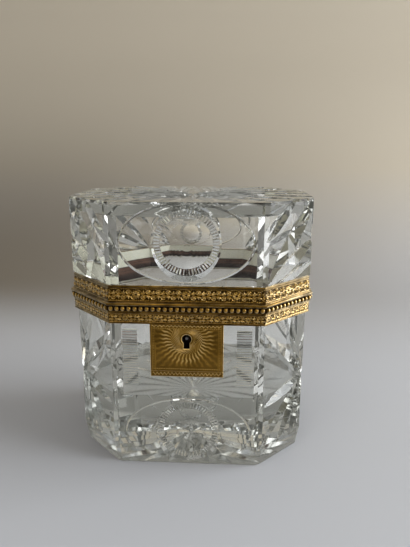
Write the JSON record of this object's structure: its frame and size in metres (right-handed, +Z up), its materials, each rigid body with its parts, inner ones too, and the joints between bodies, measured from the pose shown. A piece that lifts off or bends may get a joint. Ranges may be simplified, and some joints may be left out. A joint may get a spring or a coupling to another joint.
{
  "type": "glass casket box",
  "caption": "Octagonal cut-crystal casket with a hinged lid, gilt metal collars with a beaded edge, and a keyed box lock in front.",
  "frame": {"origin": "on the table under the centre of the casket, at the bottom centre of its bounding box", "axes": "+X to the right seen from the front, +Y from the lock towards the hinge, +Z up"},
  "size_m": [0.1372, 0.1036, 0.1485],
  "materials": {
    "cut_glass": "polished clear crystal",
    "gilt_metal": "chased gilt brass, slightly worn",
    "dark_brass": "dull brass",
    "lock_steel": "filed steel",
    "plaster": "matt plaster of the glass bedding"
  },
  "bodies": {
    "base": {"base_glass": "cut_glass", "base_bedding": "plaster", "base_collar": "gilt_metal", "rim_liner": "dark_brass", "lock_plate": "gilt_metal", "lock_case": "dark_brass", "bolt_guide_pins": "lock_steel", "bolt_spring": "lock_steel", "key_post": "lock_steel", "lock_ward": "lock_steel", "hinge_base_leaf": "gilt_metal", "hinge_pin": "lock_steel", "base_leaf_rivets": "gilt_metal"},
    "lid": {"lid_glass": "cut_glass", "lid_bedding": "plaster", "lid_collar": "gilt_metal", "bead_strip": "gilt_metal", "staple": "lock_steel", "staple_rivets": "dark_brass", "hinge_lid_leaf": "gilt_metal", "lid_leaf_rivets": "gilt_metal"},
    "bolt": {"lock_bolt": "lock_steel"}
  },
  "joints": [
    {"name": "lid_hinge", "type": "hinge", "parent": "base", "child": "lid", "pos_m": [0, 0.0504, 0.0912], "axis": [-1, 0, 0], "range_deg": [0, 95]},
    {"name": "lock_bolt_slide", "type": "slide", "parent": "base", "child": "bolt", "axis": [1, 0, 0], "range_m": [0, 0.0036]}
  ]
}
